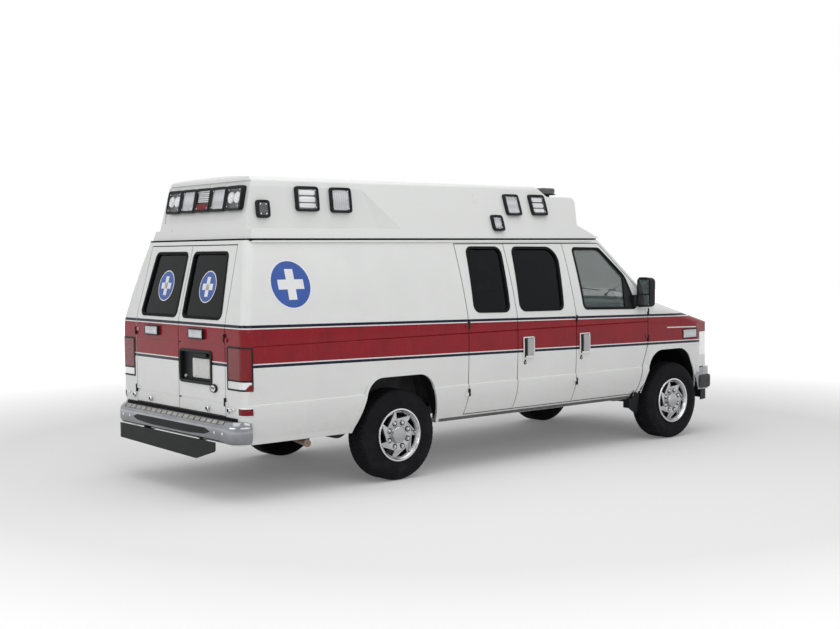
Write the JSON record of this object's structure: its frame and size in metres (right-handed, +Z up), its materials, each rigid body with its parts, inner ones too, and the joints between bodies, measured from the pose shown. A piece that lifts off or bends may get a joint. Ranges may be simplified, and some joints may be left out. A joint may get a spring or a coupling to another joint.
{
  "type": "high-roof van ambulance",
  "caption": "Extended van ambulance with raised roof cap, roof warning lamps, right-hand side doors, twin rear doors, hood and steered front wheels.",
  "frame": {"origin": "on the ground under the middle of the overall length, on the vehicle's centre plane", "axes": "+X forward, +Y to the vehicle's left, +Z up"},
  "size_m": [5.89, 2.3488, 2.52],
  "materials": {
    "body_paint": "gloss",
    "cap_shell": "gloss",
    "chassis_black": "satin",
    "bright_trim": "polished",
    "cover_silver": "satin",
    "tyre_black": "matte",
    "seal_rubber": "matte",
    "black_plastic": "matte",
    "cab_plastic": "matte",
    "seat_cloth": "matte",
    "cabinet_board": "satin",
    "tinted_glass": "gloss",
    "clear_glass": "gloss",
    "red_lens": "gloss",
    "clear_lens": "gloss",
    "engine_iron": "rough",
    "exhaust_steel": "satin"
  },
  "bodies": {
    "body": {"side_panel_left": "body_paint", "side_panel_right": "body_paint", "rear_door_surround": "body_paint", "tail_lamps": "red_lens", "windshield_surround": "body_paint", "windshield_glass": "clear_glass", "fenders": "body_paint", "cowl": "body_paint", "nose_panel": "body_paint", "headlamps": "clear_lens", "grille": "bright_trim", "front_bumper": "bright_trim", "front_air_dam": "black_plastic", "rear_bumper": "bright_trim", "rear_valance": "black_plastic", "chassis_frame": "chassis_black", "floor_pan": "chassis_black", "side_steps": "chassis_black", "roof_cap": "cap_shell", "roof_seal": "seal_rubber", "front_axle_beams": "chassis_black", "rear_axle": "chassis_black", "engine_block": "engine_iron", "fuel_tank": "chassis_black", "exhaust": "exhaust_steel", "dashboard": "cab_plastic", "cab_seats": "seat_cloth", "partition": "cabinet_board", "patient_cabinet": "cabinet_board", "bench": "cabinet_board", "grab_pole": "exhaust_steel", "roof_lamps": "clear_lens", "rear_lamps": "clear_lens", "light_bar": "clear_lens"},
    "front_door_left_body": {"front_door_left": "body_paint", "front_door_glass_left": "clear_glass", "mirror_left": "black_plastic"},
    "front_door_right_body": {"front_door_right": "body_paint", "front_door_glass_right": "clear_glass", "mirror_right": "black_plastic"},
    "side_door_front_body": {"side_door_front": "body_paint", "side_door_front_glass": "tinted_glass"},
    "side_door_rear_body": {"side_door_rear": "body_paint", "side_door_rear_glass": "tinted_glass"},
    "rear_door_left_body": {"rear_door_left": "body_paint", "rear_door_glass_left": "tinted_glass"},
    "rear_door_right_body": {"rear_door_right": "body_paint", "rear_door_glass_right": "tinted_glass"},
    "hood_body": {"hood": "body_paint"},
    "knuckle_left_body": {"knuckle_left": "engine_iron"},
    "knuckle_right_body": {"knuckle_right": "engine_iron"},
    "front_wheel_left": {"wheel_front_left": "cover_silver", "tyre_front_left": "tyre_black"},
    "front_wheel_right": {"wheel_front_right": "cover_silver", "tyre_front_right": "tyre_black"},
    "rear_wheel_left": {"wheel_rear_left": "cover_silver", "tyre_rear_left": "tyre_black"},
    "rear_wheel_right": {"wheel_rear_right": "cover_silver", "tyre_rear_right": "tyre_black"}
  },
  "joints": [
    {"name": "front_door_left_swing", "type": "hinge", "parent": "body", "child": "front_door_left_body", "pos_m": [1.769, 1.008, 1.16], "axis": [0, 0, -1], "range_deg": [0, 67]},
    {"name": "front_door_right_swing", "type": "hinge", "parent": "body", "child": "front_door_right_body", "pos_m": [1.769, -1.008, 1.16], "axis": [0, 0, 1], "range_deg": [0, 67]},
    {"name": "side_door_front_swing", "type": "hinge", "parent": "body", "child": "side_door_front_body", "pos_m": [0.75, -1.008, 0.97], "axis": [0, 0, 1], "range_deg": [0, 90]},
    {"name": "side_door_rear_swing", "type": "hinge", "parent": "body", "child": "side_door_rear_body", "pos_m": [-0.596, -1.008, 0.97], "axis": [0, 0, -1], "range_deg": [0, 105]},
    {"name": "rear_door_left_swing", "type": "hinge", "parent": "body", "child": "rear_door_left_body", "pos_m": [-2.856, 0.727, 1], "axis": [0, 0, -1], "range_deg": [0, 175]},
    {"name": "rear_door_right_swing", "type": "hinge", "parent": "body", "child": "rear_door_right_body", "pos_m": [-2.856, -0.727, 1], "axis": [0, 0, 1], "range_deg": [0, 175]},
    {"name": "hood_lift", "type": "hinge", "parent": "body", "child": "hood_body", "pos_m": [2.01, 0, 1.381], "axis": [0, -1, 0], "range_deg": [0, 45]},
    {"name": "steer_left", "type": "hinge", "parent": "body", "child": "knuckle_left_body", "pos_m": [2.165, 0.8, 0.38], "axis": [0, 0, 1], "range_deg": [-33, 33]},
    {"name": "steer_right", "type": "hinge", "parent": "body", "child": "knuckle_right_body", "pos_m": [2.165, -0.8, 0.38], "axis": [0, 0, 1], "range_deg": [-33, 33]},
    {"name": "front_wheel_left_spin", "type": "hinge", "parent": "knuckle_left_body", "child": "front_wheel_left", "pos_m": [2.165, 0.8815, 0.38], "axis": [0, 1, 0], "continuous": true},
    {"name": "front_wheel_right_spin", "type": "hinge", "parent": "knuckle_right_body", "child": "front_wheel_right", "pos_m": [2.165, -0.8815, 0.38], "axis": [0, 1, 0], "continuous": true},
    {"name": "rear_wheel_left_spin", "type": "hinge", "parent": "body", "child": "rear_wheel_left", "pos_m": [-1.34, 0.852, 0.38], "axis": [0, 1, 0], "continuous": true},
    {"name": "rear_wheel_right_spin", "type": "hinge", "parent": "body", "child": "rear_wheel_right", "pos_m": [-1.34, -0.852, 0.38], "axis": [0, 1, 0], "continuous": true}
  ],
  "couplings": [
    {"joint": "steer_right", "follows": "steer_left", "ratio": 1}
  ]
}
